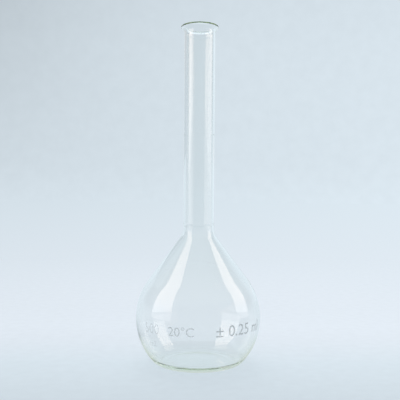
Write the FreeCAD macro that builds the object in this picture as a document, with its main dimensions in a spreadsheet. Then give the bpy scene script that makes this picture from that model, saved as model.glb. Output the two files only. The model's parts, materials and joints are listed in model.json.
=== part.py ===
"""A 500 ml volumetric flask: a blown glass bulb, a drawn glass neck tube sealed to it, and a fired ring mark.

Millimetres, +Z up, with the origin at the middle of the base on the bench.
"""

import FreeCAD
import Part
import Sketcher
import math
import os

# Driving sizes of the flask, as alias, value and meaning
SIZES = (
    ("bulb_diameter", 99.0, "outside of the ball"),
    ("bulb_wall", 1.3, "glass of the ball and the cone above it"),
    ("base_diameter", 59.5, "flat that the flask stands on, to where the heel's rounding starts"),
    ("standing_ring_width", 5.35, "breadth of that flat, outside the hollow under the base"),
    ("heel_radius", 9.0, "outside rounding between ball and base"),
    ("heel_inner_radius", 13.3, "inside rounding, larger, so that the heel is thick"),
    ("base_wall", 1.95, "glass of the base"),
    ("kick_height", 1.0, "rise of the hollow pushed up under the base, at its middle"),
    ("shoulder_rise", 21.2, "where the shoulder runs into the straight neck, above the top of the ball"),
    ("shoulder_radius", 12.2, "hollow curve between cone and neck"),
    ("seal_rise", 2.4, "flame seal between bulb and neck tube, above that place"),
    ("neck_diameter", 24.7, "outside of the neck"),
    ("neck_wall", 1.6, "glass of the neck"),
    ("overall_height", 268.6, "top of the lip"),
    ("lip_overhang", 2.8, "how far the lip stands out from the neck"),
    ("lip_flare_radius", 3.6, "hollow curve under the lip"),
    ("mark_height", 181.8, "ring mark above the bench"),
    ("mark_width", 0.5, "breadth of the fired line"),
    ("mark_depth", 0.12, "depth of the hair groove that holds the line"),
    ("mark_proud", 0.04, "how far the fired line stands out of its groove"),
)

# Heights that follow from those sizes: the ball's middle, from the flat that the heel leads to, then the shoulder
# above the ball, and the seal above the shoulder
HEEL_REACH = "(Sizes.bulb_diameter / 2 - Sizes.heel_radius)"
BALL_HEIGHT = f"Sizes.heel_radius + sqrt({HEEL_REACH} ^ 2 - (Sizes.base_diameter / 2) ^ 2)"
SHOULDER_HEIGHT = f"{BALL_HEIGHT} + Sizes.bulb_diameter / 2 + Sizes.shoulder_rise"
SEAL_HEIGHT = f"{SHOULDER_HEIGHT} + Sizes.seal_rise"

# Sizes of the bulb's outside and of its cavity, which have the same kind of outline
BULB_OUTSIDE = {
    "ball_radius": "Sizes.bulb_diameter / 2",
    "ball_height": BALL_HEIGHT,
    "floor_height": "0",
    "heel_radius": "Sizes.heel_radius",
    "kick_radius": "Sizes.base_diameter / 2 - Sizes.standing_ring_width",
    "kick_height": "Sizes.kick_height",
    "shoulder_radius": "Sizes.shoulder_radius",
    "shoulder_height": SHOULDER_HEIGHT,
    "neck_radius": "Sizes.neck_diameter / 2",
    "top_height": SEAL_HEIGHT,
}
BULB_CAVITY = {
    **BULB_OUTSIDE,
    "ball_radius": "Sizes.bulb_diameter / 2 - Sizes.bulb_wall",
    "floor_height": "Sizes.base_wall",
    "heel_radius": "Sizes.heel_inner_radius",
    "shoulder_radius": "Sizes.shoulder_radius + Sizes.neck_wall",
    "neck_radius": "Sizes.neck_diameter / 2 - Sizes.neck_wall",
}
NECK_WALL = {
    "outer_radius": "Sizes.neck_diameter / 2",
    "wall": "Sizes.neck_wall",
    "seal_height": SEAL_HEIGHT,
    "flare_radius": "Sizes.lip_flare_radius",
    "rim_radius": "Sizes.neck_diameter / 2 + Sizes.lip_overhang - Sizes.neck_wall / 2",
    "rim_height": "Sizes.overall_height - Sizes.neck_wall / 2",
}
RING_MARK = {
    "inner_radius": "Sizes.neck_diameter / 2 - Sizes.mark_depth",
    "breadth": "Sizes.mark_depth + Sizes.mark_proud",
    "bottom_height": "Sizes.mark_height - Sizes.mark_width / 2",
    "height": "Sizes.mark_width",
}

# How a sketch numbers a curve's start, end and centre and its own two axes, whose shared start is the origin
START, END, CENTRE = range(1, 4)
LEVEL_AXIS, UPRIGHT_AXIS = range(-1, -3, -1)
ORIGIN = (LEVEL_AXIS, START)

FULL_TURN = 360
LEFT = math.pi
DOWN = -math.pi / 2
MM3_PER_ML = 1000


def point(x, y):
    return FreeCAD.Vector(x, y, 0)


def make_sheet(doc):
    """The spreadsheet of driving sizes, one row each."""
    sheet = doc.addObject("Spreadsheet::Sheet", "Sizes")
    for row, (alias, value, meaning) in enumerate(SIZES, start=1):
        sheet.set(f"A{row}", alias)
        sheet.set(f"B{row}", str(value))
        sheet.setAlias(f"B{row}", alias)
        sheet.set(f"C{row}", meaning)
    doc.recompute()
    return sheet


def upright_sketch(body, name):
    """A sketch on the body's upright XZ plane, where sketch y is the height."""
    sketch = body.newObject("Sketcher::SketchObject", name)
    planes = body.Origin.OriginFeatures
    sketch.AttachmentSupport = [next(p for p in planes if p.Role == "XZ_Plane")]
    sketch.MapMode = "FlatFace"
    return sketch


def line(sketch, start, end):
    return sketch.addGeometry(Part.LineSegment(point(*start), point(*end)))


def arc(sketch, centre, radius, start_angle, end_angle):
    """An arc that turns anticlockwise from start_angle to end_angle."""
    circle = Part.Circle(point(*centre), FreeCAD.Vector(0, 0, 1), radius)
    return sketch.addGeometry(Part.ArcOfCircle(circle, start_angle, end_angle))


def join(sketch, kind, *pairs):
    """Joins ends of the outline: each pair is a piece and its end, then the next piece and its end."""
    for pair in pairs:
        sketch.addConstraint(Sketcher.Constraint(kind, *pair))


def bind(sketch, name, expression, kind, *geometry):
    """A named dimension that follows an expression of the sheet."""
    value = float(sketch.evalExpression(expression))
    index = sketch.addConstraint(Sketcher.Constraint(kind, *geometry, value))
    sketch.renameConstraint(index, name)
    sketch.setExpression(f"Constraints.{name}", expression)


def evaluate(sketch, expressions):
    return {name: float(sketch.evalExpression(text)) for name, text in expressions.items()}


def cone_angle(ball, shoulder):
    """Angle of the outward normal of the cone that touches the ball and, from outside, the shoulder circle.

    Each circle is its middle's x and height, and its radius.
    """
    across = shoulder[0] - ball[0]
    up = shoulder[1] - ball[1]
    lean = math.acos((ball[2] + shoulder[2]) / math.hypot(across, up))
    return math.atan2(up, across) - lean


def blown_outline(body, name, sizes):
    """Half outline of a flat-bottomed ball that a cone and a hollow shoulder carry into a straight neck."""
    sketch = upright_sketch(body, name)
    at = evaluate(sketch, sizes)
    ball = (0, at["ball_height"], at["ball_radius"])
    shoulder = (at["neck_radius"] + at["shoulder_radius"], at["shoulder_height"], at["shoulder_radius"])
    heel_height = at["floor_height"] + at["heel_radius"]
    heel_reach = at["ball_radius"] - at["heel_radius"]
    heel_x = math.sqrt(heel_reach ** 2 - (at["ball_height"] - heel_height) ** 2)
    heel_angle = math.atan2(heel_height - at["ball_height"], heel_x)
    slope = cone_angle(ball, shoulder)
    normal = (math.cos(slope), math.sin(slope))
    cone_foot = tuple(c + ball[2] * n for c, n in zip(ball, normal))
    cone_top = tuple(c - shoulder[2] * n for c, n in zip(shoulder, normal))
    kick_top = at["floor_height"] + at["kick_height"]
    kick_curve = (at["kick_radius"] ** 2 + at["kick_height"] ** 2) / (2 * at["kick_height"])
    kick_edge_angle = math.acos(at["kick_radius"] / kick_curve)

    kick = arc(sketch, (0, kick_top - kick_curve), kick_curve, kick_edge_angle, -DOWN)
    floor = line(sketch, (at["kick_radius"], at["floor_height"]), (heel_x, at["floor_height"]))
    heel = arc(sketch, (heel_x, heel_height), at["heel_radius"], DOWN, heel_angle)
    side = arc(sketch, ball[:2], ball[2], heel_angle, slope)
    cone = line(sketch, cone_foot, cone_top)
    hollow = arc(sketch, shoulder[:2], shoulder[2], LEFT, LEFT + slope)
    neck = line(sketch, (at["neck_radius"], at["shoulder_height"]), (at["neck_radius"], at["top_height"]))
    top = line(sketch, (at["neck_radius"], at["top_height"]), (0, at["top_height"]))
    middle = line(sketch, (0, at["top_height"]), (0, kick_top))

    join(sketch, "Coincident", (kick, START, floor, START), (neck, END, top, START))
    join(sketch, "Coincident", (top, END, middle, START), (middle, END, kick, END))
    join(sketch, "Tangent", (floor, END, heel, START), (heel, END, side, START), (side, END, cone, START))
    join(sketch, "Tangent", (cone, END, hollow, END), (hollow, START, neck, START))
    join(sketch, "PointOnObject", (middle, START, UPRIGHT_AXIS), (middle, END, UPRIGHT_AXIS))
    join(sketch, "PointOnObject", (side, CENTRE, UPRIGHT_AXIS), (kick, CENTRE, UPRIGHT_AXIS))
    join(sketch, "Horizontal", (floor,), (top,))
    join(sketch, "Vertical", (neck,))

    bind(sketch, "ball_radius", sizes["ball_radius"], "Radius", side)
    bind(sketch, "heel_radius", sizes["heel_radius"], "Radius", heel)
    bind(sketch, "shoulder_radius", sizes["shoulder_radius"], "Radius", hollow)
    bind(sketch, "ball_height", sizes["ball_height"], "DistanceY", *ORIGIN, side, CENTRE)
    bind(sketch, "shoulder_height", sizes["shoulder_height"], "DistanceY", *ORIGIN, hollow, CENTRE)
    bind(sketch, "floor_height", sizes["floor_height"], "DistanceY", *ORIGIN, floor, START)
    bind(sketch, "top_height", sizes["top_height"], "DistanceY", *ORIGIN, top, START)
    bind(sketch, "kick_radius", sizes["kick_radius"], "DistanceX", *ORIGIN, floor, START)
    bind(sketch, "kick_height", sizes["kick_height"], "DistanceY", floor, START, middle, END)
    bind(sketch, "neck_radius", sizes["neck_radius"], "DistanceX", *ORIGIN, top, START)
    return sketch


def neck_outline(body, name, sizes):
    """Section of the neck tube's wall, whose upper end is flared into a fire-polished lip."""
    sketch = upright_sketch(body, name)
    at = evaluate(sketch, sizes)
    inner_radius = at["outer_radius"] - at["wall"]
    flare_x = at["outer_radius"] + at["flare_radius"]
    middle_curve = at["flare_radius"] + at["wall"] / 2
    turn = math.acos((flare_x - at["rim_radius"]) / middle_curve)
    flare_height = at["rim_height"] - middle_curve * math.sin(turn)
    rim_angle = LEFT - turn

    seal = line(sketch, (inner_radius, at["seal_height"]), (at["outer_radius"], at["seal_height"]))
    outside = line(sketch, (at["outer_radius"], at["seal_height"]), (at["outer_radius"], flare_height))
    flare = arc(sketch, (flare_x, flare_height), at["flare_radius"], rim_angle, LEFT)
    rim_centre = (at["rim_radius"], at["rim_height"])
    rim = arc(sketch, rim_centre, at["wall"] / 2, rim_angle + LEFT, rim_angle + 2 * LEFT)
    throat = arc(sketch, (flare_x, flare_height), at["flare_radius"] + at["wall"], rim_angle, LEFT)
    bore = line(sketch, (inner_radius, flare_height), (inner_radius, at["seal_height"]))

    join(sketch, "Coincident", (seal, END, outside, START), (bore, END, seal, START))
    join(sketch, "Coincident", (flare, CENTRE, throat, CENTRE))
    join(sketch, "Tangent", (outside, END, flare, END), (flare, START, rim, START))
    join(sketch, "Tangent", (rim, END, throat, START), (throat, END, bore, START))
    join(sketch, "Horizontal", (seal,))
    join(sketch, "Vertical", (outside,), (bore,))

    bind(sketch, "outer_radius", sizes["outer_radius"], "DistanceX", *ORIGIN, seal, END)
    bind(sketch, "wall", sizes["wall"], "DistanceX", seal, START, seal, END)
    bind(sketch, "seal_height", sizes["seal_height"], "DistanceY", *ORIGIN, seal, END)
    bind(sketch, "flare_radius", sizes["flare_radius"], "Radius", flare)
    bind(sketch, "rim_radius", sizes["rim_radius"], "DistanceX", *ORIGIN, rim, CENTRE)
    bind(sketch, "rim_height", sizes["rim_height"], "DistanceY", *ORIGIN, rim, CENTRE)
    return sketch


def band_outline(body, name, sizes):
    """Rectangular section of a ring about the upright axis."""
    sketch = upright_sketch(body, name)
    at = evaluate(sketch, sizes)
    inner = at["inner_radius"]
    outer = inner + at["breadth"]
    low = at["bottom_height"]
    high = low + at["height"]

    bottom = line(sketch, (inner, low), (outer, low))
    outside = line(sketch, (outer, low), (outer, high))
    top = line(sketch, (outer, high), (inner, high))
    inside = line(sketch, (inner, high), (inner, low))

    join(sketch, "Coincident", (bottom, END, outside, START), (outside, END, top, START))
    join(sketch, "Coincident", (top, END, inside, START), (inside, END, bottom, START))
    join(sketch, "Horizontal", (bottom,), (top,))
    join(sketch, "Vertical", (outside,), (inside,))

    bind(sketch, "inner_radius", sizes["inner_radius"], "DistanceX", *ORIGIN, bottom, START)
    bind(sketch, "breadth", sizes["breadth"], "DistanceX", bottom, START, bottom, END)
    bind(sketch, "bottom_height", sizes["bottom_height"], "DistanceY", *ORIGIN, bottom, START)
    bind(sketch, "height", sizes["height"], "DistanceY", bottom, END, outside, END)
    return sketch


def spin(body, kind, name, sketch):
    """A full turn of a sketch about the upright axis: a Revolution adds it and a Groove cuts it away."""
    feature = body.newObject(f"PartDesign::{kind}", name)
    feature.Profile = sketch
    feature.ReferenceAxis = (sketch, ["V_Axis"])
    feature.Angle = FULL_TURN
    body.Document.recompute()
    return feature


def make_body(doc, label):
    body = doc.addObject("PartDesign::Body", label)
    body.Label = label
    return body


def make_bulb(doc):
    """The blown bulb, up to the seal: its outside, hollowed by its cavity."""
    body = make_body(doc, "bulb")
    spin(body, "Revolution", "bulb_glass", blown_outline(body, "bulb_outside", BULB_OUTSIDE))
    spin(body, "Groove", "bulb_hollow", blown_outline(body, "bulb_cavity", BULB_CAVITY))
    return body


def make_neck_tube(doc):
    """The drawn tube with its flared lip and the hair groove for the ring mark."""
    body = make_body(doc, "neck_tube")
    spin(body, "Revolution", "neck_glass", neck_outline(body, "neck_wall", NECK_WALL))
    spin(body, "Groove", "mark_groove", band_outline(body, "mark_seat", RING_MARK))
    return body


def make_graduation_ring(doc):
    """The fired line that fills the groove round the neck at the flask's capacity."""
    body = make_body(doc, "graduation_ring")
    spin(body, "Revolution", "fired_line", band_outline(body, "line_section", RING_MARK))
    return body


def check(doc, bodies):
    """Stops the build if an object failed or a sub-part isn't one valid solid."""
    failed = [o.Name for o in doc.Objects if {"Invalid", "Error"} & set(o.State)]
    if failed:
        raise RuntimeError(f"these objects failed: {failed}")
    for body in bodies:
        shape = body.Shape
        if shape.isNull() or not shape.isValid() or len(shape.Solids) != 1:
            raise RuntimeError(f"{body.Label} isn't one valid solid")


def report_capacity(doc, sheet):
    """Prints what the flask holds up to its ring mark."""
    bore = float(sheet.evalExpression(BULB_CAVITY["neck_radius"]))
    fill_height = float(sheet.evalExpression(f"Sizes.mark_height - ({SEAL_HEIGHT})"))
    neck_fill = math.pi * bore ** 2 * fill_height
    capacity = (doc.bulb_hollow.AddSubShape.Volume + neck_fill) / MM3_PER_ML
    print(f"capacity at the ring mark: {capacity:.2f} ml")


def main():
    doc = FreeCAD.newDocument("volumetric_flask")
    sheet = make_sheet(doc)
    bodies = [make_bulb(doc), make_neck_tube(doc), make_graduation_ring(doc)]
    doc.recompute()
    check(doc, bodies)
    report_capacity(doc, sheet)
    os.makedirs("parts", exist_ok=True)
    for body in bodies:
        body.Shape.exportStep(f"parts/{body.Label}.step")
        print(f"{body.Label}: {body.Shape.Volume / MM3_PER_ML:.3f} cm3 of material")


main()
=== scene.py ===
# %% [markdown]
# # A volumetric flask in clear glass
# The flask is one vessel: a blown bulb and a drawn neck that a flame has run together, with a fired ring
# mark and a few fired signs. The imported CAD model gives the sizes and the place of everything. This
# lesson dresses it: it draws the glass as one seamless wall, gives it a glass that bends and tints
# light, and sets a pale table under it.

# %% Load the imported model
import json
import math

import bmesh
import bpy
import numpy as np
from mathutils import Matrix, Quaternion, Vector


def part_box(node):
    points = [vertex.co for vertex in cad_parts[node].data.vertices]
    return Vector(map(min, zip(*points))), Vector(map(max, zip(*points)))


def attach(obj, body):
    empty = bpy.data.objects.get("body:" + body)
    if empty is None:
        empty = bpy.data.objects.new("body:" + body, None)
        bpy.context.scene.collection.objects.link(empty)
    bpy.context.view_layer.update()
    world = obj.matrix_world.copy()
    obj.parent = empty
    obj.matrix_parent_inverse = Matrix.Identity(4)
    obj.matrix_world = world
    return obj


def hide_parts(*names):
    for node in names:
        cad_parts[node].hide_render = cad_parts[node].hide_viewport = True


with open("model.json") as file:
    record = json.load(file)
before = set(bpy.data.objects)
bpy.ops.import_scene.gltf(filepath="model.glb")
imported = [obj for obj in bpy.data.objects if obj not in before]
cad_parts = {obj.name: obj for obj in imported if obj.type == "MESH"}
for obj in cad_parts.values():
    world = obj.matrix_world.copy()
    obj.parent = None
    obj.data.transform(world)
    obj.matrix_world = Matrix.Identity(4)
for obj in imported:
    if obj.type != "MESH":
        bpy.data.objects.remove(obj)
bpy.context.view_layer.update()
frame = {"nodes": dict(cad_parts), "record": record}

print("nodes of the frame:", sorted(frame["nodes"]))

# %% [markdown]
# ## Sizes
# Whatever the frame holds is read from it: heights from the nodes' boxes, and the neck's two radii from
# the record's mounts. The few sizes that a box can't tell, such as walls and roundings, are written here
# once.

# %% Sizes of the flask, in metres
MM = 0.001
mount_sizes = {mount["name"]: mount["dims"] for mount in frame["record"]["mounts"]}
NECK_RADIUS = mount_sizes["neck_grip"]["r_mm"] * MM
BORE_RADIUS = mount_sizes["neck_bore"]["r_mm"] * MM
NECK_WALL = NECK_RADIUS - BORE_RADIUS
LIP_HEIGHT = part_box("neck_tube")[1].z
LIP_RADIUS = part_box("neck_tube")[1].x
SEAL_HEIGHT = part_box("bulb")[1].z
MARK_HEIGHT = (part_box("graduation_ring")[0].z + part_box("graduation_ring")[1].z) / 2
BALL_RADIUS = 49.5 * MM
BULB_WALL = 1.3 * MM
BASE_RADIUS = 29.75 * MM
BASE_WALL = 1.95 * MM
STANDING_RING = 5.35 * MM
KICK_HEIGHT = 1.0 * MM
HEEL_RADIUS = 9.0 * MM
INNER_HEEL_RADIUS = 13.3 * MM
SHOULDER_RISE = 21.2 * MM
SHOULDER_RADIUS = 12.2 * MM
FLARE_RADIUS = 3.6 * MM
BALL_HEIGHT = HEEL_RADIUS + math.sqrt((BALL_RADIUS - HEEL_RADIUS) ** 2 - BASE_RADIUS ** 2)
SHOULDER_HEIGHT = BALL_HEIGHT + BALL_RADIUS + SHOULDER_RISE
print(f"ball centre {BALL_HEIGHT / MM:.2f} mm up")
print(f"seal at {SEAL_HEIGHT / MM:.1f} mm, ring mark at {MARK_HEIGHT / MM:.1f} mm")

# %% [markdown]
# ## Camera
# The photograph was taken from close by, with a level camera at about half the flask's height. That
# shows in its circles: the lip is seen from below and the base from above. A camera could be aimed at
# the flask by a constraint. A level one keeps upright lines upright instead, so two numbers are enough:
# its distance and its height above the table. It is rolled by a hair, as the picture is.

# %% Camera
PICTURE_SIDE = 400
FOCAL_PIXELS = 617
CAMERA_PLACE = Vector((0.9, -494.0, 129.8)) * MM
CAMERA_ROLL = math.radians(0.37)
CLIP_RANGE = (0.01, 100)


def make_camera():
    """A level camera that looks along +Y, turned a little about that line."""
    data = bpy.data.cameras.new("camera")
    data.lens = data.sensor_width * FOCAL_PIXELS / PICTURE_SIDE
    data.clip_start, data.clip_end = CLIP_RANGE
    camera = bpy.data.objects.new("camera", data)
    bpy.context.scene.collection.objects.link(camera)
    level = Vector((0, -1, 0)).to_track_quat("Z", "Y")
    camera.location = CAMERA_PLACE
    camera.rotation_mode = "QUATERNION"
    camera.rotation_quaternion = level @ Quaternion((0, 0, 1), CAMERA_ROLL)
    bpy.context.scene.camera = camera
    return camera


camera = make_camera()
print(f"lens {camera.data.lens:.0f} mm")

# %% [markdown]
# ## The outline of the glass
# A flask is a body of revolution, so one half outline describes it all. It could be drawn by hand as a
# curve, but a glass-blower works to a template of lines and arcs, and so does this outline: from the
# middle of the base out over the heel, up the ball, the cone and the shoulder, along the neck, round the
# lip, and back down inside. Each stretch runs smoothly into the next, and a radius is all that it needs.

# %% Stretches of an outline
OUTLINE_STEP = 1.2 * MM
TURN_STEP = math.radians(6)


def straight(start, end, step=OUTLINE_STEP):
    """Points at even steps from start to end, without the last one."""
    start, end = np.array(start), np.array(end)
    count = max(2, int(np.linalg.norm(end - start) / step))
    return start + np.linspace(0, 1, count, endpoint=False)[:, None] * (end - start)


def round_stretch(centre, radius, start, end):
    """Points of an arc but its last: centre plus radius times cosine and sine of even angles."""
    count = max(2, int(radius * abs(end - start) / OUTLINE_STEP), int(abs(end - start) / TURN_STEP))
    angles = np.linspace(start, end, count, endpoint=False)
    return np.array(centre) + radius * np.column_stack([np.cos(angles), np.sin(angles)])


print(f"steps of {OUTLINE_STEP / MM:.1f} mm along the outline")


# %% Outline of the blown bulb
def blown_outline(ball_radius, floor, heel_radius, neck_radius, shoulder_radius):
    """Half outline of the bulb from axis to straight neck: kick, flat, heel, ball, cone and shoulder.

    The heel circle touches the floor and the ball from inside. The cone touches the ball, and the shoulder
    circle from its other side, so its normal points to the shoulder's centre, turned down by the lean.
    """
    kick_radius = BASE_RADIUS - STANDING_RING
    kick_curve = (kick_radius ** 2 + KICK_HEIGHT ** 2) / (2 * KICK_HEIGHT)
    heel_height = floor + heel_radius
    drop = heel_height - BALL_HEIGHT
    heel_x = math.sqrt((ball_radius - heel_radius) ** 2 - drop ** 2)
    heel_angle = math.atan2(drop, heel_x)
    shoulder = np.array([neck_radius + shoulder_radius, SHOULDER_HEIGHT])
    ball = np.array([0, BALL_HEIGHT])
    across, up = shoulder - ball
    lean = math.acos((ball_radius + shoulder_radius) / math.hypot(across, up))
    slope = math.atan2(up, across) - lean
    normal = np.array([math.cos(slope), math.sin(slope)])
    kick_centre = (0, floor + KICK_HEIGHT - kick_curve)
    return np.vstack([
        round_stretch(kick_centre, kick_curve, math.pi / 2, math.acos(kick_radius / kick_curve)),
        straight((kick_radius, floor), (heel_x, floor)),
        round_stretch((heel_x, heel_height), heel_radius, -math.pi / 2, heel_angle),
        round_stretch(ball, ball_radius, heel_angle, slope),
        straight(ball + ball_radius * normal, shoulder - shoulder_radius * normal),
        round_stretch(shoulder, shoulder_radius, math.pi + slope, math.pi),
    ])


outside = blown_outline(BALL_RADIUS, 0, HEEL_RADIUS, NECK_RADIUS, SHOULDER_RADIUS)
inside = blown_outline(
    BALL_RADIUS - BULB_WALL, BASE_WALL, INNER_HEEL_RADIUS, BORE_RADIUS, SHOULDER_RADIUS + NECK_WALL,
)
print(f"bulb: {len(outside)} points outside, {len(inside)} inside")

# %% [markdown]
# The lip is the neck's own wall, bent outwards by the flame and melted round at its edge. A bead laid on
# the neck's end would look alike from afar, but its wall would be too thick. Here the wall keeps its
# thickness, so the flare outside and the throat inside are arcs about one centre, and the edge is a half
# circle.

# %% Lip
def lip_outline():
    """The flared lip from the outside of the neck over its round edge to the bore.

    Flare and throat share a centre that lies one flare radius outside the neck. The edge's centre is on the
    middle line of the wall, so its height over that centre follows from how far the lip stands out.
    """
    half = NECK_WALL / 2
    edge = np.array([LIP_RADIUS - half, LIP_HEIGHT - half])
    middle_radius = FLARE_RADIUS + half
    flare_x = NECK_RADIUS + FLARE_RADIUS
    turn = math.acos((flare_x - edge[0]) / middle_radius)
    flare = np.array([flare_x, edge[1] - middle_radius * math.sin(turn)])
    return np.vstack([
        round_stretch(flare, FLARE_RADIUS, math.pi, math.pi - turn),
        round_stretch(edge, half, -turn, math.pi - turn),
        round_stretch(flare, FLARE_RADIUS + NECK_WALL, math.pi - turn, math.pi),
        [(BORE_RADIUS, flare[1])],
    ])


lip = lip_outline()
print(f"lip: {len(lip)} points")

# %% Whole outline
SEAL_SPREAD = 0.9 * MM
SEAL_STEP = SEAL_SPREAD / 4
SEAL_END = SEAL_HEIGHT + 4 * SEAL_SPREAD
NECK_STEP = 2 * OUTLINE_STEP


def flask_outline(outside, lip, inside):
    """The closed wall of the flask in radius and height, and a mask of the points that lie on its inside.

    The neck has fine steps up to a little above the seal, and wide ones from there to the lip.
    """
    neck = np.vstack([
        straight((NECK_RADIUS, SHOULDER_HEIGHT), (NECK_RADIUS, SEAL_END), SEAL_STEP),
        straight((NECK_RADIUS, SEAL_END), lip[0], NECK_STEP),
    ])
    bore = np.vstack([
        straight(lip[-1], (BORE_RADIUS, SEAL_END), NECK_STEP),
        straight((BORE_RADIUS, SEAL_END), (BORE_RADIUS, SHOULDER_HEIGHT), SEAL_STEP),
        [(BORE_RADIUS, SHOULDER_HEIGHT)],
    ])
    outline = np.vstack([outside, neck, lip[:-1], bore, inside[::-1]])
    is_inside = np.arange(len(outline)) >= len(outside) + len(neck) + len(lip) - 1
    return outline, is_inside


outline, is_inside = flask_outline(outside, lip, inside)
print(f"the outline has {len(outline)} points")

# %% [markdown]
# ## The glass
# Real lab glass is never quite even. Where bulb and neck were sealed, the wall thickens inwards by about
# two tenths of a millimetre and dips by a hair outside, and the inside of a blown wall wanders by about
# a hundredth. A bump in the material could hint at that, but light bends at both faces of the wall, so
# both are in the mesh: a bell curve about the seal, and a few slow waves round and up the inside that
# fade out at the lip and the base.

# %% Unevenness of the wall
SEAL_INSIDE = 0.18 * MM
SEAL_OUTSIDE = 0.03 * MM
WAVE_HEIGHT = 0.015 * MM
TUBE_WAVE_SHARE = 0.2
# Each wave has its share, its count round the axis, its turn with the height, and its start
WAVES = ((1.0, 2, 1.7, 0.0), (0.7, 3, -2.9, 1.1), (0.4, 5, 4.3, 2.3))


def seal_ripple(outline, is_inside):
    """The outline drawn in by a bell curve of the height above the seal, more inside than outside."""
    radius, height = outline.T
    on_neck = radius < LIP_RADIUS
    bell = np.exp(-(((height - SEAL_HEIGHT) / SEAL_SPREAD) ** 2)) * on_neck
    return np.column_stack([radius - bell * np.where(is_inside, SEAL_INSIDE, SEAL_OUTSIDE), height])


def blown_waves(height, angle):
    """A sum of slow waves round the axis, each turned steadily with the height."""
    lift = height / BALL_RADIUS
    return sum(share * np.sin(count * angle + turn * lift + start) for share, count, turn, start in WAVES)


def wave_fade(height):
    """How much of the waves is left at a height: none at lip and base, and little in the drawn tube."""
    below_lip = np.clip((LIP_HEIGHT - height) / LIP_RADIUS, 0, 1)
    above_base = np.clip((height - BASE_WALL) / HEEL_RADIUS, 0, 1)
    tube_starts = [SHOULDER_HEIGHT - NECK_RADIUS, SHOULDER_HEIGHT]
    return below_lip * above_base * np.interp(height, tube_starts, [1, TUBE_WAVE_SHARE])


wavy_outline = seal_ripple(outline, is_inside)
print(f"the seal draws the wall in by {np.abs(wavy_outline - outline).max() / MM:.2f} mm at most")

# %% Helper for meshes
def add_piece(name, vertices, faces, smooth=True):
    """An object at the origin from an array of points and lists of corner numbers."""
    mesh = bpy.data.meshes.new(name)
    mesh.from_pydata(vertices.tolist(), [], faces)
    mesh.polygons.foreach_set("use_smooth", np.full(len(mesh.polygons), smooth))
    mesh.update()
    piece = bpy.data.objects.new(name, mesh)
    bpy.context.scene.collection.objects.link(piece)
    return piece


# %% Glass wall
TURNS = 192


def revolve(outline, is_inside):
    """A surface of revolution: radius and height go to (radius cos, radius sin, height) at even angles.

    The first and last points lie on the axis and are single poles. The waves move the inside points.
    """
    angle = np.linspace(0, 2 * math.pi, TURNS, endpoint=False)
    radius, height = outline[1:-1].T
    share = (is_inside[1:-1] * wave_fade(height))[:, None]
    spread = radius[:, None] + WAVE_HEIGHT * share * blown_waves(height[:, None], angle)
    rings = np.stack([
        spread * np.cos(angle),
        spread * np.sin(angle),
        np.broadcast_to(height[:, None], spread.shape),
    ], axis=-1).reshape(-1, 3)
    poles = np.array([[0, 0, outline[0, 1]], [0, 0, outline[-1, 1]]])
    here = np.arange(TURNS)
    there = (here + 1) % TURNS
    low = TURNS * np.arange(len(height) - 1)[:, None]
    high = low + TURNS
    quads = np.stack([low + here, low + there, high + there, high + here], axis=-1).reshape(-1, 4)
    last = TURNS * (len(height) - 1)
    first_pole, last_pole = len(rings), len(rings) + 1
    first_fan = np.column_stack([np.full(TURNS, first_pole), there, here])
    last_fan = np.column_stack([np.full(TURNS, last_pole), last + here, last + there])
    return np.vstack([rings, poles]), quads.tolist() + first_fan.tolist() + last_fan.tolist()


flask_glass = add_piece("flask_glass", *revolve(wavy_outline, is_inside))
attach(flask_glass, "root")
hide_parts("bulb", "neck_tube")
print(f"flask_glass: {len(flask_glass.data.polygons)} faces")

# %% [markdown]
# ## Helpers for materials
# Every material below is a small tree of nodes. It could be clicked together by hand, but these helpers
# keep each step on one line. An effect that more than one material uses becomes a group, which is built
# once.

# %% Helpers for materials
NOISE_DETAIL = 4


def empty_material(name):
    """A material with nothing but its output node."""
    material = bpy.data.materials.new(name)
    material.use_nodes = True
    tree = material.node_tree
    tree.nodes.clear()
    return material, tree, tree.nodes.new("ShaderNodeOutputMaterial")


def add_node(tree, kind, inputs=None, **settings):
    """A shader node with its settings, whose inputs are values or other nodes' outputs."""
    node = tree.nodes.new(kind)
    for name, value in settings.items():
        setattr(node, name, value)
    for name, value in (inputs or {}).items():
        if isinstance(value, bpy.types.NodeSocket):
            tree.links.new(value, node.inputs[name])
        else:
            node.inputs[name].default_value = value
    return node


def math_node(tree, operation, first, second=0.0):
    """One step of arithmetic on values."""
    return add_node(tree, "ShaderNodeMath", {0: first, 1: second}, operation=operation).outputs[0]


def map_range(tree, value, low, high, start=0.0, end=1.0, **settings):
    """A value carried from one range to another and held at its ends."""
    inputs = {"Value": value, "From Min": low, "From Max": high, "To Min": start, "To Max": end}
    return add_node(tree, "ShaderNodeMapRange", inputs, **settings).outputs["Result"]


def noise(tree, place, scale, detail=NOISE_DETAIL):
    """Cloudy noise about a half, finer with a larger scale."""
    inputs = {"Vector": place, "Scale": scale, "Detail": detail}
    return add_node(tree, "ShaderNodeTexNoise", inputs).outputs["Fac"]


print(f"noise has {NOISE_DETAIL} layers of detail")


# %% Helper for groups
def new_group(name, inputs, outputs):
    """A shader node group with named sockets of given kinds, and the sockets of its two ends."""
    group = bpy.data.node_groups.new(name, "ShaderNodeTree")
    for direction, sockets in (("INPUT", inputs), ("OUTPUT", outputs)):
        for socket, kind in sockets.items():
            group.interface.new_socket(socket, in_out=direction, socket_type=f"NodeSocket{kind}")
    given = group.nodes.new("NodeGroupInput").outputs
    made = group.nodes.new("NodeGroupOutput").inputs
    return group, given, made


# %% [markdown]
# ## What the glass is made of
# Clear borosilicate bends light by 1.47 and swallows a little red and blue on the way, which shows as
# green where the light runs far inside the wall: in the lip, the heel and the edges. A green surface
# would tint thin and thick places alike, and a volume tints by the length of the way. A lamp's light
# can't be followed through bent glass, so shadow rays go straight on, and each face of the wall keeps
# back a small share of them.

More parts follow.
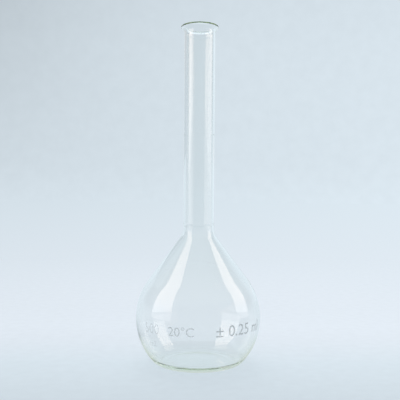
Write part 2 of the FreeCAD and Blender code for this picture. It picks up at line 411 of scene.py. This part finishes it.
# %% Glass material
GLASS_BENDING = 1.473
GLASS_FACES = (0.984, 0.993, 0.991, 1)
GLASS_SHADOW = (0.92, 0.94, 0.94, 1)
GLASS_ABSORBED = (0.81, 0.86, 0.75, 1)
GLASS_DENSITY = 16
SMEAR_SCALE = 45
SMEAR_DETAIL = 3
SMEAR_RANGE = (0.55, 0.8)
SMEAR_ROUGHNESS = 0.04


def make_glass():
    """Polished glass with a green volume and a thin film of wiping marks."""
    material, tree, output = empty_material("clear_borosilicate")
    place = add_node(tree, "ShaderNodeTexCoord").outputs["Object"]
    smears = noise(tree, place, SMEAR_SCALE, SMEAR_DETAIL)
    film = map_range(tree, smears, *SMEAR_RANGE, 0.0, SMEAR_ROUGHNESS)
    glass = add_node(
        tree, "ShaderNodeBsdfPrincipled",
        {"Base Color": GLASS_FACES, "IOR": GLASS_BENDING, "Transmission Weight": 1.0, "Roughness": film},
    )
    clear = add_node(tree, "ShaderNodeBsdfTransparent", {"Color": GLASS_SHADOW})
    path = add_node(tree, "ShaderNodeLightPath")
    surface = add_node(
        tree, "ShaderNodeMixShader",
        {0: path.outputs["Is Shadow Ray"], 1: glass.outputs[0], 2: clear.outputs[0]},
    )
    body = add_node(tree, "ShaderNodeVolumeAbsorption", {"Color": GLASS_ABSORBED, "Density": GLASS_DENSITY})
    tree.links.new(surface.outputs[0], output.inputs["Surface"])
    tree.links.new(body.outputs[0], output.inputs["Volume"])
    return material


flask_glass.data.materials.append(make_glass())
print(f"the glass bends light by {GLASS_BENDING}")

# %% [markdown]
# ## Fired enamel
# The ring mark and the signs are a thin grey enamel, fired into the glass. It is matt, a little uneven,
# and lets some of the glass behind it show through its pores. A flat half-clear grey would look like
# tape, so fine noise gives it specks and pores. Years of wiping have rubbed some signs paler than
# others. The ring mark is rubbed most: little of it is left in front and behind, and it shows at the
# sides of the neck, where the eye looks along it.

# %% Grain of the enamel
SPECK_SCALE = 2200
SPECK_RANGE = (0.3, 0.7)
DARK_SPECK = (0.66, 0.69, 0.70, 1)
PALE_SPECK = (0.84, 0.87, 0.88, 1)


def make_enamel_grain():
    """A group with fine specks in the enamel's tone, and pores that change its cover from thin to full."""
    group, given, made = new_group(
        "enamel_grain",
        {"Place": "Vector", "Thin": "Float", "Full": "Float"},
        {"Tone": "Color", "Cover": "Float"},
    )
    specks = noise(group, given["Place"], SPECK_SCALE)
    tone = add_node(group, "ShaderNodeValToRGB", {"Fac": specks})
    tone.color_ramp.elements[0].color = DARK_SPECK
    tone.color_ramp.elements[1].color = PALE_SPECK
    cover = map_range(group, specks, *SPECK_RANGE, given["Thin"], given["Full"])
    group.links.new(tone.outputs["Color"], made["Tone"])
    group.links.new(cover, made["Cover"])
    return group


enamel_grain = make_enamel_grain()
print(f"enamel_grain: {len(enamel_grain.nodes)} nodes")

# %% Enamel materials
ENAMEL_ROUGHNESS = 0.6
# How much the enamel covers, from its pores to its full places
SIGN_COVERS = {"fired_enamel": (0.45, 0.75), "rubbed_enamel": (0.29, 0.48), "faded_enamel": (0.12, 0.24)}
RING_COVER = (0.14, 0.22)
RUBBED_WIDTH = 9.5 * MM
RUBBED_EDGE = 2 * MM
RUBBED_COVER = 0.1


def make_enamel(name, thin, full, rubbed_width=0):
    """Pale grey enamel with the shared grain.

    With a width given, nearly all of it is rubbed off in front and behind, up to that width on either side.
    """
    material, tree, output = empty_material(name)
    place = add_node(tree, "ShaderNodeTexCoord").outputs["Object"]
    grain_inputs = {"Place": place, "Thin": thin, "Full": full}
    grain = add_node(tree, "ShaderNodeGroup", grain_inputs, node_tree=enamel_grain)
    cover = grain.outputs["Cover"]
    if rubbed_width:
        across = add_node(tree, "ShaderNodeSeparateXYZ", {0: place}).outputs["X"]
        aside = math_node(tree, "ABSOLUTE", across)
        kept = map_range(tree, aside, rubbed_width, rubbed_width + RUBBED_EDGE, RUBBED_COVER)
        cover = math_node(tree, "MULTIPLY", cover, kept)
    enamel = add_node(
        tree, "ShaderNodeBsdfPrincipled",
        {"Base Color": grain.outputs["Tone"], "Roughness": ENAMEL_ROUGHNESS, "Alpha": cover},
    )
    tree.links.new(enamel.outputs[0], output.inputs["Surface"])
    return material


enamels = {name: make_enamel(name, *cover) for name, cover in SIGN_COVERS.items()}
ring = frame["nodes"]["graduation_ring"]
ring.data.materials.clear()
ring.data.materials.append(make_enamel("worn_enamel", *RING_COVER, RUBBED_WIDTH))
print("enamels of the signs:", ", ".join(enamels))

# %% [markdown]
# ## Fired signs
# Round the widest part of the bulb run a few plain signs: how much the flask holds, at which warmth, and
# how far that may be out. They are printed flat and fired on. A picture on the glass would do from afar,
# but it would blur from close by, so each sign starts as flat text with a hair of thickness. It is cut
# into millimetre strips, which lets it bend, and then laid on the ball: across becomes the turn round
# the axis, and up becomes the climb from the ball's middle.

# %% Flat signs
SIGN_DEPTH = 0.06 * MM
STRIP = 1.0 * MM
CAPITAL_SHARE = 0.72
CURVE_STEPS = 4
CUT_REACH = 1e-8
JOIN_REACH = SIGN_DEPTH / 10


def flat_sign(text, height):
    """Flat text of a given height, as a mesh about the origin, cut into upright and level strips."""
    curve = bpy.data.curves.new("flat_sign", "FONT")
    curve.body = text
    curve.extrude = SIGN_DEPTH / 2
    curve.size = height / CAPITAL_SHARE
    curve.resolution_u = CURVE_STEPS
    holder = bpy.data.objects.new("flat_sign", curve)
    shape = bmesh.new()
    shape.from_mesh(bpy.data.meshes.new_from_object(holder))
    bpy.data.objects.remove(holder)
    bmesh.ops.remove_doubles(shape, verts=shape.verts, dist=JOIN_REACH)
    points = np.array([vertex.co for vertex in shape.verts])
    low, high = points.min(axis=0), points.max(axis=0)
    for axis in range(2):
        for cut in np.arange(low[axis] + STRIP, high[axis], STRIP):
            bmesh.ops.bisect_plane(
                shape, geom=shape.verts[:] + shape.edges[:] + shape.faces[:], dist=CUT_REACH,
                plane_co=cut * np.eye(3)[axis], plane_no=np.eye(3)[axis],
            )
    middle = np.array([(low[0] + high[0]) / 2, height / 2, 0])
    points = np.array([vertex.co for vertex in shape.verts]) - middle
    shape.verts.index_update()
    faces = [[vertex.index for vertex in face.verts] for face in shape.faces]
    shape.free()
    return points, faces


print(f"signs stand {SIGN_DEPTH / 2 / MM:.2f} mm proud of the glass")

# %% Signs on the ball
# Each sign has its text, its height in mm, the turn and climb of its middle in degrees, and its enamel
SIGNS = {
    "capacity_sign": ("500", 7.6, -44.2, -2.4, "faded_enamel"),
    "unit_sign": ("ml", 5.2, -45.0, -16.0, "faded_enamel"),
    "warmth_sign": ("20°C", 7.0, -14.7, -2.7, "rubbed_enamel"),
    "tolerance_sign": ("± 0.25 ml", 8.6, 41.5, -2.2, "fired_enamel"),
}


def lay_on_ball(points, turn, climb):
    """Wraps flat points on the ball: turn and climb grow with across and up, measured along the surface."""
    across, up, depth = points.T
    climb = climb + up / BALL_RADIUS
    turn = turn + across / (BALL_RADIUS * np.cos(climb.mean()))
    reach = BALL_RADIUS + depth
    return np.column_stack([
        reach * np.cos(climb) * np.sin(turn),
        -reach * np.cos(climb) * np.cos(turn),
        BALL_HEIGHT + reach * np.sin(climb),
    ])


for name, (text, height, turn, climb, finish) in SIGNS.items():
    points, faces = flat_sign(text, height * MM)
    points = lay_on_ball(points, math.radians(turn), math.radians(climb))
    sign = add_piece(name, points, faces, smooth=False)
    sign.data.materials.append(enamels[finish])
    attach(sign, "root")
    print(f"{name}: {len(sign.data.polygons)} faces")

# %% [markdown]
# ## The studio
# The flask stands on a sheet of pale paper so wide that it runs out into a pale haze. The camera sees
# both directly and straight through the glass. Glass also mirrors the room round it, and that is a
# studio: bright behind the flask, dim to the sides and behind the camera, with panels of light on each
# side. It could be built as walls, but those would stand in the picture. So rays that the glass has
# mirrored, which Light Path counts as glossy, see the room instead of the paper. First come a few
# helpers for brightnesses that change from place to place.

# %% Helpers for brightness
PAPER_TINT = (0.885, 1.0, 1.085)
MIRRORED_ONCE = 0.5
RISING = ((0.0, 0.0), (1.0, 1.0))
FALLING = ((0.0, 1.0), (1.0, 0.0))


def mirrored(tree):
    """A value of 1 for rays that the glass has mirrored at least once on their way."""
    path = add_node(tree, "ShaderNodeLightPath")
    return math_node(tree, "GREATER_THAN", path.outputs["Glossy Depth"], MIRRORED_ONCE)


def grey_ramp(tree, value, low, high, stops):
    """A brightness that follows stops of position and level while a value goes from low to high."""
    ramp = add_node(tree, "ShaderNodeValToRGB", {"Fac": map_range(tree, value, low, high)})
    elements = ramp.color_ramp.elements
    while len(elements) < len(stops):
        elements.new(1)
    for element, (position, level) in zip(elements, stops):
        element.position = position
        element.color = (level, level, level, 1)
    return ramp.outputs["Color"]


def tinted(tree, tint, level):
    """A colour that is a tint times a brightness."""
    return add_node(tree, "ShaderNodeVectorMath", {0: tint, "Scale": level}, operation="SCALE").outputs[0]


def mixed(tree, share, first, second):
    """A colour between two others, each given as a socket or as a grey level."""
    mix = add_node(tree, "ShaderNodeMix", {0: share}, data_type="RGBA")
    for socket, value in ((mix.inputs[6], first), (mix.inputs[7], second)):
        if isinstance(value, bpy.types.NodeSocket):
            tree.links.new(value, socket)
        else:
            socket.default_value = (value, value, value, 1)
    return mix.outputs[2]


print("tint of the paper:", PAPER_TINT)

# %% [markdown]
# The table and the world show the same room to mirrored rays, and both are mottled a little, as paper
# and a painted backdrop are. Each of these effects is a group that both of them use.

# %% Room and mottle
ROOM_BY_BEARING = ((0.0, 0.82), (0.25, 0.82), (0.36, 0.78), (0.46, 0.58), (0.60, 0.40), (0.80, 0.42))
MOTTLE_RANGE = (0.3, 0.7)
MOTTLE_LEVELS = (0.985, 1.015)


def by_bearing(tree, place, stops):
    """Brightness by bearing, from straight behind the flask round either side to behind the camera."""
    axes = add_node(tree, "ShaderNodeSeparateXYZ", {0: place})
    side = math_node(tree, "ABSOLUTE", axes.outputs["X"])
    bearing = math_node(tree, "ARCTAN2", side, axes.outputs["Y"])
    return grey_ramp(tree, bearing, 0, math.pi, stops)


def make_studio_room():
    """A group with the brightness of the room in the direction of a place."""
    group, given, made = new_group("studio_room", {"Place": "Vector"}, {"Level": "Color"})
    group.links.new(by_bearing(group, given["Place"], ROOM_BY_BEARING), made["Level"])
    return group


def make_mottle():
    """A group with a factor close to 1 that follows fine noise."""
    group, given, made = new_group("mottle", {"Place": "Vector", "Scale": "Float"}, {"Factor": "Float"})
    fibres = noise(group, given["Place"], given["Scale"])
    group.links.new(map_range(group, fibres, *MOTTLE_RANGE, *MOTTLE_LEVELS), made["Factor"])
    return group


studio_room = make_studio_room()
mottle = make_mottle()
print(f"mottle from {MOTTLE_LEVELS[0]} to {MOTTLE_LEVELS[1]}")

# %% [markdown]
# ## The table
# The paper could be a white floor under lamps. Its brightness is known better than its lamps, though, so
# most of it is a glow with painted light that follows the depth: darker in front of the flask, lighter
# behind it and a little lighter on the right. Only a small share is shaded by the lamp, which gives the
# flask a soft shadow. A slightly darker oblong under and behind the flask is a painted shadow, the core of
# its shadow, faint under the base, where thick glass gathers the light, and darker towards its far end.

# %% Painted core of the shadow
CORE_MIDDLE = 22 * MM
CORE_REACH = (33 * MM, 50 * MM)
CORE_POWER = 4
CORE_EDGE = (0.7, 1.2)
# Painted shadow: how much darker the paper is made, by depth
CORE_SHADE = ((0.0, 0.01), (0.5, 0.03), (0.8, 0.065), (1.0, 0.065))
CORE_RANGE = (-0.01, 0.06)


def painted_shadow_core(tree, axes):
    """Painted shadow: a factor just below 1 on a rounded oblong under and behind the flask, darker towards
    its far end.

    The oblong is where the sum of the fourth powers of across and along, each over its reach, is below 1.
    """
    across = math_node(tree, "DIVIDE", axes.outputs["X"], CORE_REACH[0])
    along = math_node(tree, "SUBTRACT", axes.outputs["Y"], CORE_MIDDLE)
    along = math_node(tree, "DIVIDE", along, CORE_REACH[1])
    across = math_node(tree, "POWER", across, CORE_POWER)
    along = math_node(tree, "POWER", along, CORE_POWER)
    edge = grey_ramp(tree, math_node(tree, "ADD", across, along), *CORE_EDGE, FALLING)
    shade = grey_ramp(tree, axes.outputs["Y"], *CORE_RANGE, CORE_SHADE)
    return math_node(tree, "SUBTRACT", 1.0, math_node(tree, "MULTIPLY", edge, shade))


print(f"the core of the shadow is {2 * CORE_REACH[0] / MM:.0f} by {2 * CORE_REACH[1] / MM:.0f} mm")

# %% Paper
# Brighter painted light turns the paper towards this warmer tint, fully at this level
LIGHT_PAPER_TINT = (0.918, 1.0, 1.085)
LIGHT_PAPER_LEVEL = 0.82
# Painted light: the paper's brightness by depth, darker in front of the flask and lighter behind it
PAPER_BY_DEPTH = ((0.0, 0.71), (0.16, 0.755), (0.31, 0.79), (0.46, 0.812), (0.68, 0.833), (1.0, 0.822))
DEPTH_RANGE = (-0.10, 0.25)
HAZE_LEVEL = 0.784
HAZE_HALFWAY = 0.5
HAZE_RANGE = (0.4, 0.98)
FIBRE_SCALE = 110
TILT_HALFWAY = 1.5
TILT_LIMIT = 0.3
# Painted light: how much lighter the right side is than the left
SIDE_LIGHT_SHARE = 0.15


def clamped(tree, value, limit):
    """A value held between a limit below zero and the same one above."""
    inputs = {"Value": value, "Min": -limit, "Max": limit}
    return add_node(tree, "ShaderNodeClamp", inputs).outputs["Result"]


def painted_side_light(tree, across):
    """Painted light: a factor that makes the right side a little lighter than the left."""
    return math_node(tree, "ADD", 1.0, math_node(tree, "MULTIPLY", across, SIDE_LIGHT_SHARE))


def paper_colour(tree, place, axes, distance):
    """Painted light by depth into the haze, times painted side light, the mottle and the painted shadow's
    core.

    The share of haze grows as distance over distance plus half a metre, which is even in the camera's rows.
    Where the painted light is brighter, the paper is a little warmer.
    """
    farness = math_node(tree, "DIVIDE", distance, math_node(tree, "ADD", distance, HAZE_HALFWAY))
    haze = map_range(tree, farness, *HAZE_RANGE)
    by_depth = grey_ramp(tree, axes.outputs["Y"], *DEPTH_RANGE, PAPER_BY_DEPTH)
    level = mixed(tree, haze, by_depth, HAZE_LEVEL)
    lightness = map_range(tree, level, HAZE_LEVEL, LIGHT_PAPER_LEVEL)
    across = math_node(tree, "DIVIDE", axes.outputs["X"], math_node(tree, "ADD", distance, TILT_HALFWAY))
    mottled = add_node(tree, "ShaderNodeGroup", {"Place": place, "Scale": FIBRE_SCALE}, node_tree=mottle)
    level = math_node(tree, "MULTIPLY", level, painted_side_light(tree, clamped(tree, across, TILT_LIMIT)))
    level = math_node(tree, "MULTIPLY", level, mottled.outputs["Factor"])
    level = math_node(tree, "MULTIPLY", level, painted_shadow_core(tree, axes))
    return mixed(tree, lightness, tinted(tree, PAPER_TINT, level), tinted(tree, LIGHT_PAPER_TINT, level))


print(f"paper from {PAPER_BY_DEPTH[0][1]} in front to {HAZE_LEVEL} in the haze")

# %% [markdown]
# The lower half of the ball mirrors the table close to it, at a glancing angle, and that draws the edges
# of the glass. What it mirrors there is a painted reflection, darker than the paper in the picture: it is
# dim in front, where the camera stands, painted darkest in one place at the left, and painted olive close
# to the flask, standing in for light that has run along the thick heel.

# %% Table as the glass mirrors it
ROOM_NEAR = ((0.0, 0.68), (0.20, 0.68), (0.35, 0.74), (0.55, 0.80), (1.0, 0.80))
ROOM_NEAR_RANGE = (0.0, 0.2)
NEAR_FADE = (0.22, 0.36)
BEFORE_LEVEL = 0.5
BEFORE_RANGE = (-0.12, -0.03)
LEFT_LEVEL = 0.35
LEFT_RANGE = (-0.06, -0.04)
LEFT_DIM_RANGE = (0.06, 0.30)
LEFT_DIM = ((0.0, 0.0), (0.09, 0.27), (0.155, 0.56), (0.27, 0.34), (0.375, 0.28), (0.667, 0.06), (1.0, 0.0))
# Painted reflection: the olive tint of the mirrored table close to the flask
OLIVE_TINT = (0.885, 1.0, 0.955)
OLIVE_RANGE = (0.05, 0.11)


def mirrored_table_colour(tree, place, axes, distance):
    """Painted reflection: brightness by distance from the flask, with the dim places and olive mixed in,
    fading into the room.
    """
    near = grey_ramp(tree, distance, *ROOM_NEAR_RANGE, ROOM_NEAR)
    before = grey_ramp(tree, axes.outputs["Y"], *BEFORE_RANGE, FALLING)
    near = mixed(tree, before, near, BEFORE_LEVEL)
    left = grey_ramp(tree, axes.outputs["X"], *LEFT_RANGE, FALLING)
    left = math_node(tree, "MULTIPLY", left, grey_ramp(tree, distance, *LEFT_DIM_RANGE, LEFT_DIM))
    near = mixed(tree, left, near, LEFT_LEVEL)
    nearness = map_range(tree, distance, *NEAR_FADE, 1.0, 0.0, interpolation_type="SMOOTHSTEP")
    room = add_node(tree, "ShaderNodeGroup", {"Place": place}, node_tree=studio_room).outputs["Level"]
    level = mixed(tree, nearness, room, near)
    olive = grey_ramp(tree, distance, *OLIVE_RANGE, FALLING)
    return mixed(tree, olive, tinted(tree, PAPER_TINT, level), tinted(tree, OLIVE_TINT, level))


print(f"the mirrored table fades into the room {NEAR_FADE[0]} to {NEAR_FADE[1]} m away")

# %% [markdown]
# The sheet itself is a flat disc. It lies a hair below the base, because glass that touches paper
# without any air between them would not mirror, and the real base stands on its ring with air under it.

# %% Table
TABLE_RADIUS = 30.0
AIR_GAP = 0.02 * MM
TABLE_SHADE = 0.18
SHADE_RANGE = (0.15, 0.9)


def make_table_material():
    """The paper, partly shaded by the lamp near the flask, and the mirrored table for mirrored rays."""
    material, tree, output = empty_material("pale_paper")
    place = add_node(tree, "ShaderNodeTexCoord").outputs["Object"]
    axes = add_node(tree, "ShaderNodeSeparateXYZ", {0: place})
    distance = add_node(tree, "ShaderNodeVectorMath", {0: place}, operation="LENGTH").outputs["Value"]
    colour = paper_colour(tree, place, axes, distance)
    glow = add_node(tree, "ShaderNodeEmission", {"Color": colour})
    shade = add_node(tree, "ShaderNodeBsdfDiffuse", {"Color": colour})
    shaded = grey_ramp(tree, distance, *SHADE_RANGE, ((0.0, TABLE_SHADE), (1.0, 0.0)))
    paper = add_node(tree, "ShaderNodeMixShader", {0: shaded, 1: glow.outputs[0], 2: shade.outputs[0]})
    room_colour = mirrored_table_colour(tree, place, axes, distance)
    room = add_node(tree, "ShaderNodeEmission", {"Color": room_colour})
    surface = add_node(
        tree, "ShaderNodeMixShader", {0: mirrored(tree), 1: paper.outputs[0], 2: room.outputs[0]},
    )
    tree.links.new(surface.outputs[0], output.inputs["Surface"])
    return material


def make_table():
    """A flat disc: points at even angles on a circle, each neighbouring two joined to one in the middle."""
    angle = np.linspace(0, 2 * math.pi, TURNS, endpoint=False)
    rim = np.column_stack([
        TABLE_RADIUS * np.cos(angle),
        TABLE_RADIUS * np.sin(angle),
        np.full(TURNS, -AIR_GAP),
    ])
    here = np.arange(TURNS)
    fan = np.column_stack([np.full(TURNS, TURNS), here, (here + 1) % TURNS])
    table = add_piece("table", np.vstack([rim, [[0, 0, -AIR_GAP]]]), fan.tolist(), smooth=False)
    table.data.materials.append(make_table_material())


make_table()
print(f"the table is {2 * TABLE_RADIUS:.0f} m across")

# %% [markdown]
# ## Panels of light
# Long bright stripes run down both sides of the neck and bulb. They are two tall panels of light, one on
# each side, seen in the glass. Area lamps could make them, but those are plain oblongs and light the
# paper as well. These are sheets whose edges slant, which is why the stripes on the bulb end along a
# level line. The feet of the tall panels are dim, each has a dimmer band of light under it, and a soft
# panel, one at the back and a dim card near the left fill the rest of the room. Only rays that the glass
# has mirrored may see a panel, so it lights nothing else.

# %% Glow of a panel
PANEL_TINT = (1.0, 0.86, 0.78)
PANEL_WARMTH = (0.30, 0.75)


def make_panel_glow():
    """A group with a panel's colour, from the tint of its foot to a warmer one above."""
    group, given, made = new_group("panel_glow", {"Place": "Vector", "Foot": "Color"}, {"Colour": "Color"})
    height = add_node(group, "ShaderNodeSeparateXYZ", {0: given["Place"]}).outputs["Z"]
    warmth = grey_ramp(group, height, *PANEL_WARMTH, RISING)
    colour = mixed(group, warmth, given["Foot"], tinted(group, PANEL_TINT, 1.0))
    group.links.new(colour, made["Colour"])
    return group


panel_glow = make_panel_glow()
print(f"panels turn warmer from {PANEL_WARMTH[0]} to {PANEL_WARMTH[1]} m up")

# %% Panels that the glass mirrors
FOOT_TINT = (0.95, 0.93, 0.95)
DIM_FOOT_TINT = (0.82, 0.78, 0.78)
# Where panels stand across, in metres
LEFT = -1.6
RIGHT = 1.6
NEAR_LEFT = -0.25
# Each panel has its place across, its corners in depth and height, its strength, and the tint of its foot
PANELS = {
    "left_panel": (LEFT, ((0.08, 0.16), (-1.34, 0.53), (-0.80, 3.45), (0.36, 3.45)), 2.5, DIM_FOOT_TINT),
    "left_low_panel": (LEFT, ((0.08, 0.0), (-1.34, 0.0), (-1.34, 0.53), (0.08, 0.16)), 1.3, FOOT_TINT),
    "right_panel": (RIGHT, ((-0.47, 0.31), (0.37, 0.136), (0.78, 2.00), (-0.10, 2.15)), 2.4, DIM_FOOT_TINT),
    "right_low_panel": (RIGHT, ((-0.43, 0.0), (0.37, 0.0), (0.37, 0.136), (-0.43, 0.31)), 1.25, FOOT_TINT),
    "right_soft_panel": (RIGHT, ((-1.84, 0.0), (-0.43, 0.0), (-0.43, 0.75), (-1.84, 0.75)), 0.7, FOOT_TINT),
    "right_back_panel": (RIGHT, ((1.90, 0.0), (4.40, 0.0), (4.40, 0.45), (1.90, 0.45)), 0.92, PAPER_TINT),
    "left_card": (NEAR_LEFT, ((0.05, 0.19), (1.40, 0.19), (1.40, 0.60), (0.05, 0.60)), 0.67, PAPER_TINT),
}


def make_panel(name, side, outline, strength, foot_tint):
    """An upright sheet of light, with corners in depth and height, that only mirrored rays see."""
    corners = np.column_stack([np.full(len(outline), side), outline])
    panel = add_piece(name, corners, [tuple(range(len(outline)))], smooth=False)
    material, tree, output = empty_material(name)
    place = add_node(tree, "ShaderNodeTexCoord").outputs["Object"]
    glow_inputs = {"Place": place, "Foot": (*foot_tint, 1)}
    glow = add_node(tree, "ShaderNodeGroup", glow_inputs, node_tree=panel_glow)
    light = add_node(tree, "ShaderNodeEmission", {"Color": glow.outputs["Colour"], "Strength": strength})
    clear = add_node(tree, "ShaderNodeBsdfTransparent")
    surface = add_node(
        tree, "ShaderNodeMixShader", {0: mirrored(tree), 1: clear.outputs[0], 2: light.outputs[0]},
    )
    tree.links.new(surface.outputs[0], output.inputs["Surface"])
    panel.data.materials.append(material)
    panel.visible_camera = False
    panel.visible_diffuse = False
    panel.visible_shadow = False


for name, settings in PANELS.items():
    make_panel(name, *settings)
print("panels:", ", ".join(PANELS))

# %% [markdown]
# ## The world
# The world stands behind the table. Matt surfaces get an even light from it. To the camera, and straight
# through the glass, it is the haze that the table runs out into, mottled, a little darker upwards and in
# one corner. A picture of a room could light the glass too, but a few ramps are enough. Light that the
# glass bends steeply upwards meets a bright strip and then a dim ceiling, and that draws the dark line
# round the lip. A mirrored ray sees the room again.

# %% Haze behind the table
HAZE_BY_HEIGHT = ((0.0, 0.784), (0.12, 0.757), (0.32, 0.753), (0.52, 0.745), (0.70, 0.722), (1.0, 0.68))
HAZE_HEIGHTS = (0.0, 0.45)
CORNER_BY_SIDE = ((0.0, 1.0), (0.3, 0.47), (0.5, 0.26), (0.7, 0.1), (1.0, 0.0))
CORNER_RANGE = (-0.3, 0.05)
CORNER_DARKNESS = 0.56
CLOUD_SCALE = 60


def haze_level(tree, way, axes):
    """Brightness by height, times the slow tilt of painted side light, the darker corner and the mottle."""
    rise = axes.outputs["Z"]
    across = clamped(tree, axes.outputs["X"], TILT_LIMIT)
    corner = math_node(tree, "MULTIPLY", grey_ramp(tree, across, *CORNER_RANGE, CORNER_BY_SIDE), rise)
    corner = math_node(tree, "MULTIPLY", corner, CORNER_DARKNESS)
    mottled = add_node(tree, "ShaderNodeGroup", {"Place": way, "Scale": CLOUD_SCALE}, node_tree=mottle)
    haze = grey_ramp(tree, rise, *HAZE_HEIGHTS, HAZE_BY_HEIGHT)
    haze = math_node(tree, "MULTIPLY", haze, painted_side_light(tree, across))
    haze = math_node(tree, "MULTIPLY", haze, math_node(tree, "SUBTRACT", 1.0, corner))
    return math_node(tree, "MULTIPLY", haze, mottled.outputs["Factor"])


print(f"haze from {HAZE_BY_HEIGHT[0][1]} at the table to {HAZE_BY_HEIGHT[-1][1]} above")

# %% World
SKY_TINT = (0.98, 1.0, 1.01)
SKY_LEVEL = 0.55
CEILING_FROM = (0.36, 0.41)
CEILING_BY_HEIGHT = ((0.41, 1.15), (0.66, 1.15), (0.76, 0.25), (1.0, 0.25))
ROOM_ABOVE = (
    (0.0, 0.90), (0.24, 0.88), (0.31, 0.50), (0.36, 0.36), (0.60, 0.38), (0.80, 0.44), (1.0, 0.45),
)
ABOVE_FROM = (0.03, 0.18)


def make_world():
    """Even light for matt surfaces, haze behind the table, a ceiling, and the room for mirrored rays."""
    world = bpy.data.worlds.new("studio")
    bpy.context.scene.world = world
    world.use_nodes = True
    tree = world.node_tree
    tree.nodes.clear()
    output = tree.nodes.new("ShaderNodeOutputWorld")
    way = add_node(tree, "ShaderNodeTexCoord").outputs["Generated"]
    axes = add_node(tree, "ShaderNodeSeparateXYZ", {0: way})
    rise = axes.outputs["Z"]
    path = add_node(tree, "ShaderNodeLightPath")

    haze = haze_level(tree, way, axes)
    ceiling = grey_ramp(tree, rise, *CEILING_FROM, RISING)
    bent = mixed(tree, ceiling, haze, grey_ramp(tree, rise, 0, 1, CEILING_BY_HEIGHT))
    room = add_node(tree, "ShaderNodeGroup", {"Place": way}, node_tree=studio_room).outputs["Level"]
    above = grey_ramp(tree, rise, *ABOVE_FROM, RISING)
    room = mixed(tree, above, room, by_bearing(tree, way, ROOM_ABOVE))

    colour = tinted(tree, SKY_TINT, SKY_LEVEL)
    colour = mixed(tree, path.outputs["Is Transmission Ray"], colour, tinted(tree, PAPER_TINT, bent))
    colour = mixed(tree, path.outputs["Is Camera Ray"], colour, tinted(tree, PAPER_TINT, haze))
    colour = mixed(tree, mirrored(tree), colour, tinted(tree, PAPER_TINT, room))
    light = add_node(tree, "ShaderNodeBackground", {"Color": colour})
    tree.links.new(light.outputs[0], output.inputs["Surface"])


make_world()
print(f"even light of {SKY_LEVEL}")

# %% [markdown]
# ## The lamp
# A studio lamp behind the flask throws its shadow towards the camera. It could be a point or a sun, but
# a wide disc gives the shadow its soft edge. It hides from the glass, which has panels to mirror
# instead.

# %% Lamp
LAMP_POWER = 26
LAMP_SIZE = 1.6
LAMP_PLACE = Vector((-0.15, 0.9, 1.8))


def make_lamp():
    """A wide soft lamp above and behind the flask, turned towards the middle of its base."""
    data = bpy.data.lights.new("soft_lamp", "AREA")
    data.shape = "DISK"
    data.size = LAMP_SIZE
    data.energy = LAMP_POWER
    lamp = bpy.data.objects.new("soft_lamp", data)
    bpy.context.scene.collection.objects.link(lamp)
    lamp.location = LAMP_PLACE
    lamp.rotation_mode = "QUATERNION"
    lamp.rotation_quaternion = LAMP_PLACE.to_track_quat("Z", "Y")
    lamp.visible_camera = False
    lamp.visible_glossy = False
    lamp.visible_transmission = False


make_lamp()
print(f"lamp of {LAMP_POWER} W")

# %% [markdown]
# ## Colour and light paths
# Light runs a long way inside a thin wall before it gets out, so the renderer may follow it through many
# turns. Fewer turns would be faster, but they would paint the edges of the glass black.

# %% Light paths and colour
LIGHT_BOUNCES = 512
scene = bpy.context.scene
scene.view_settings.view_transform = "Standard"
scene.cycles.max_bounces = LIGHT_BOUNCES
scene.cycles.glossy_bounces = LIGHT_BOUNCES
scene.cycles.transmission_bounces = LIGHT_BOUNCES
